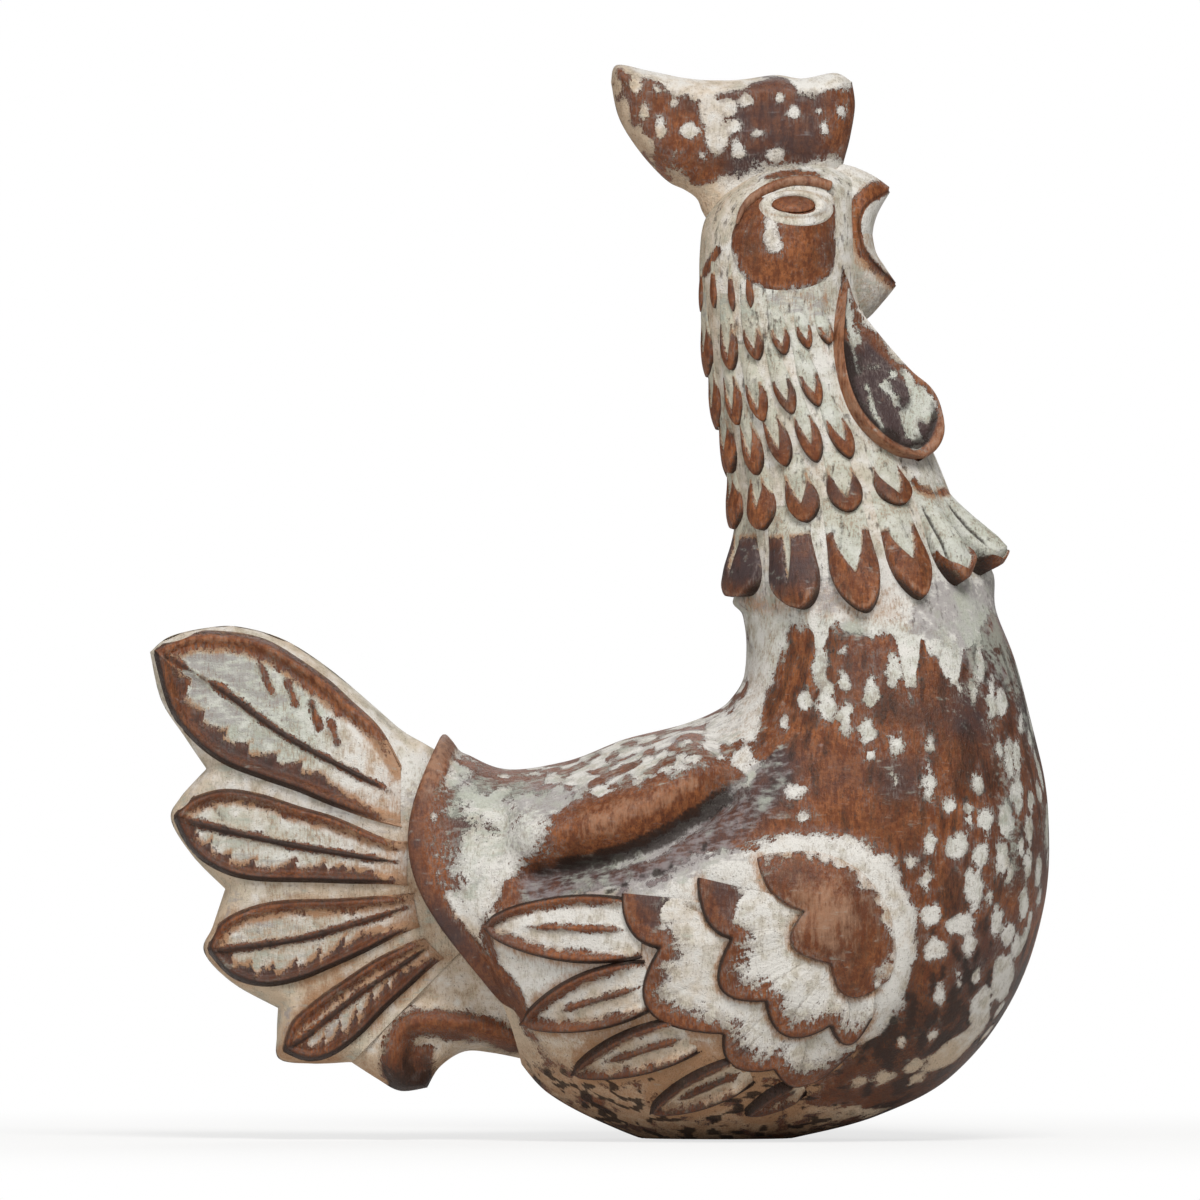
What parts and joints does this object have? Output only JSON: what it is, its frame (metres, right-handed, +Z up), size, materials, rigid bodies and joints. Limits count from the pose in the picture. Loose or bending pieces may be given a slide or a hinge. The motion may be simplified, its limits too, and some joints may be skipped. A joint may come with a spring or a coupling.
{
  "type": "ceramic rooster figurine",
  "caption": "Free-standing hollow earthenware rooster with upright comb, open beak, wattles, laid hackle and wing feathers and a fanned tail, resting on a flat foot.",
  "frame": {"origin": "on the table under the middle of the bird's bounding box", "axes": "+X towards the beak, +Y to the bird's left, +Z up"},
  "size_m": [0.2244, 0.1028, 0.2679],
  "materials": {
    "clay": "burnished unglazed terracotta with worn white slip",
    "slip": "matte white slip brushed over terracotta"
  },
  "bodies": {
    "root": {"body_half_left": "slip", "body_half_right": "slip", "hackle_row_1": "clay", "hackle_row_2": "clay", "hackle_row_3": "clay", "hackle_row_4": "clay", "hackle_row_5": "clay", "hackle_row_6": "clay", "wing_covert_upper_left": "clay", "wing_covert_upper_right": "clay", "wing_covert_middle_left": "clay", "wing_covert_middle_right": "clay", "wing_covert_lower_left": "clay", "wing_covert_lower_right": "clay", "wing_quill_1_left": "clay", "wing_quill_1_right": "clay", "wing_quill_2_left": "clay", "wing_quill_2_right": "clay", "wing_quill_3_left": "clay", "wing_quill_3_right": "clay", "wing_quill_4_left": "clay", "wing_quill_4_right": "clay", "wing_quill_5_left": "clay", "wing_quill_5_right": "clay", "tail_fan": "slip", "tail_feather_1_left": "clay", "tail_feather_1_right": "clay", "tail_feather_2_left": "clay", "tail_feather_2_right": "clay", "tail_feather_3_left": "clay", "tail_feather_3_right": "clay", "tail_feather_4_left": "clay", "tail_feather_4_right": "clay", "tail_curl": "clay", "comb": "clay", "beak_upper": "slip", "beak_lower": "slip", "wattle_left": "clay", "wattle_right": "clay", "cheek_left": "clay", "cheek_right": "clay", "eye_ring_left": "slip", "eye_ring_right": "slip", "pupil_left": "clay", "pupil_right": "clay", "brow_left": "clay", "brow_right": "clay"}
  },
  "joints": []
}
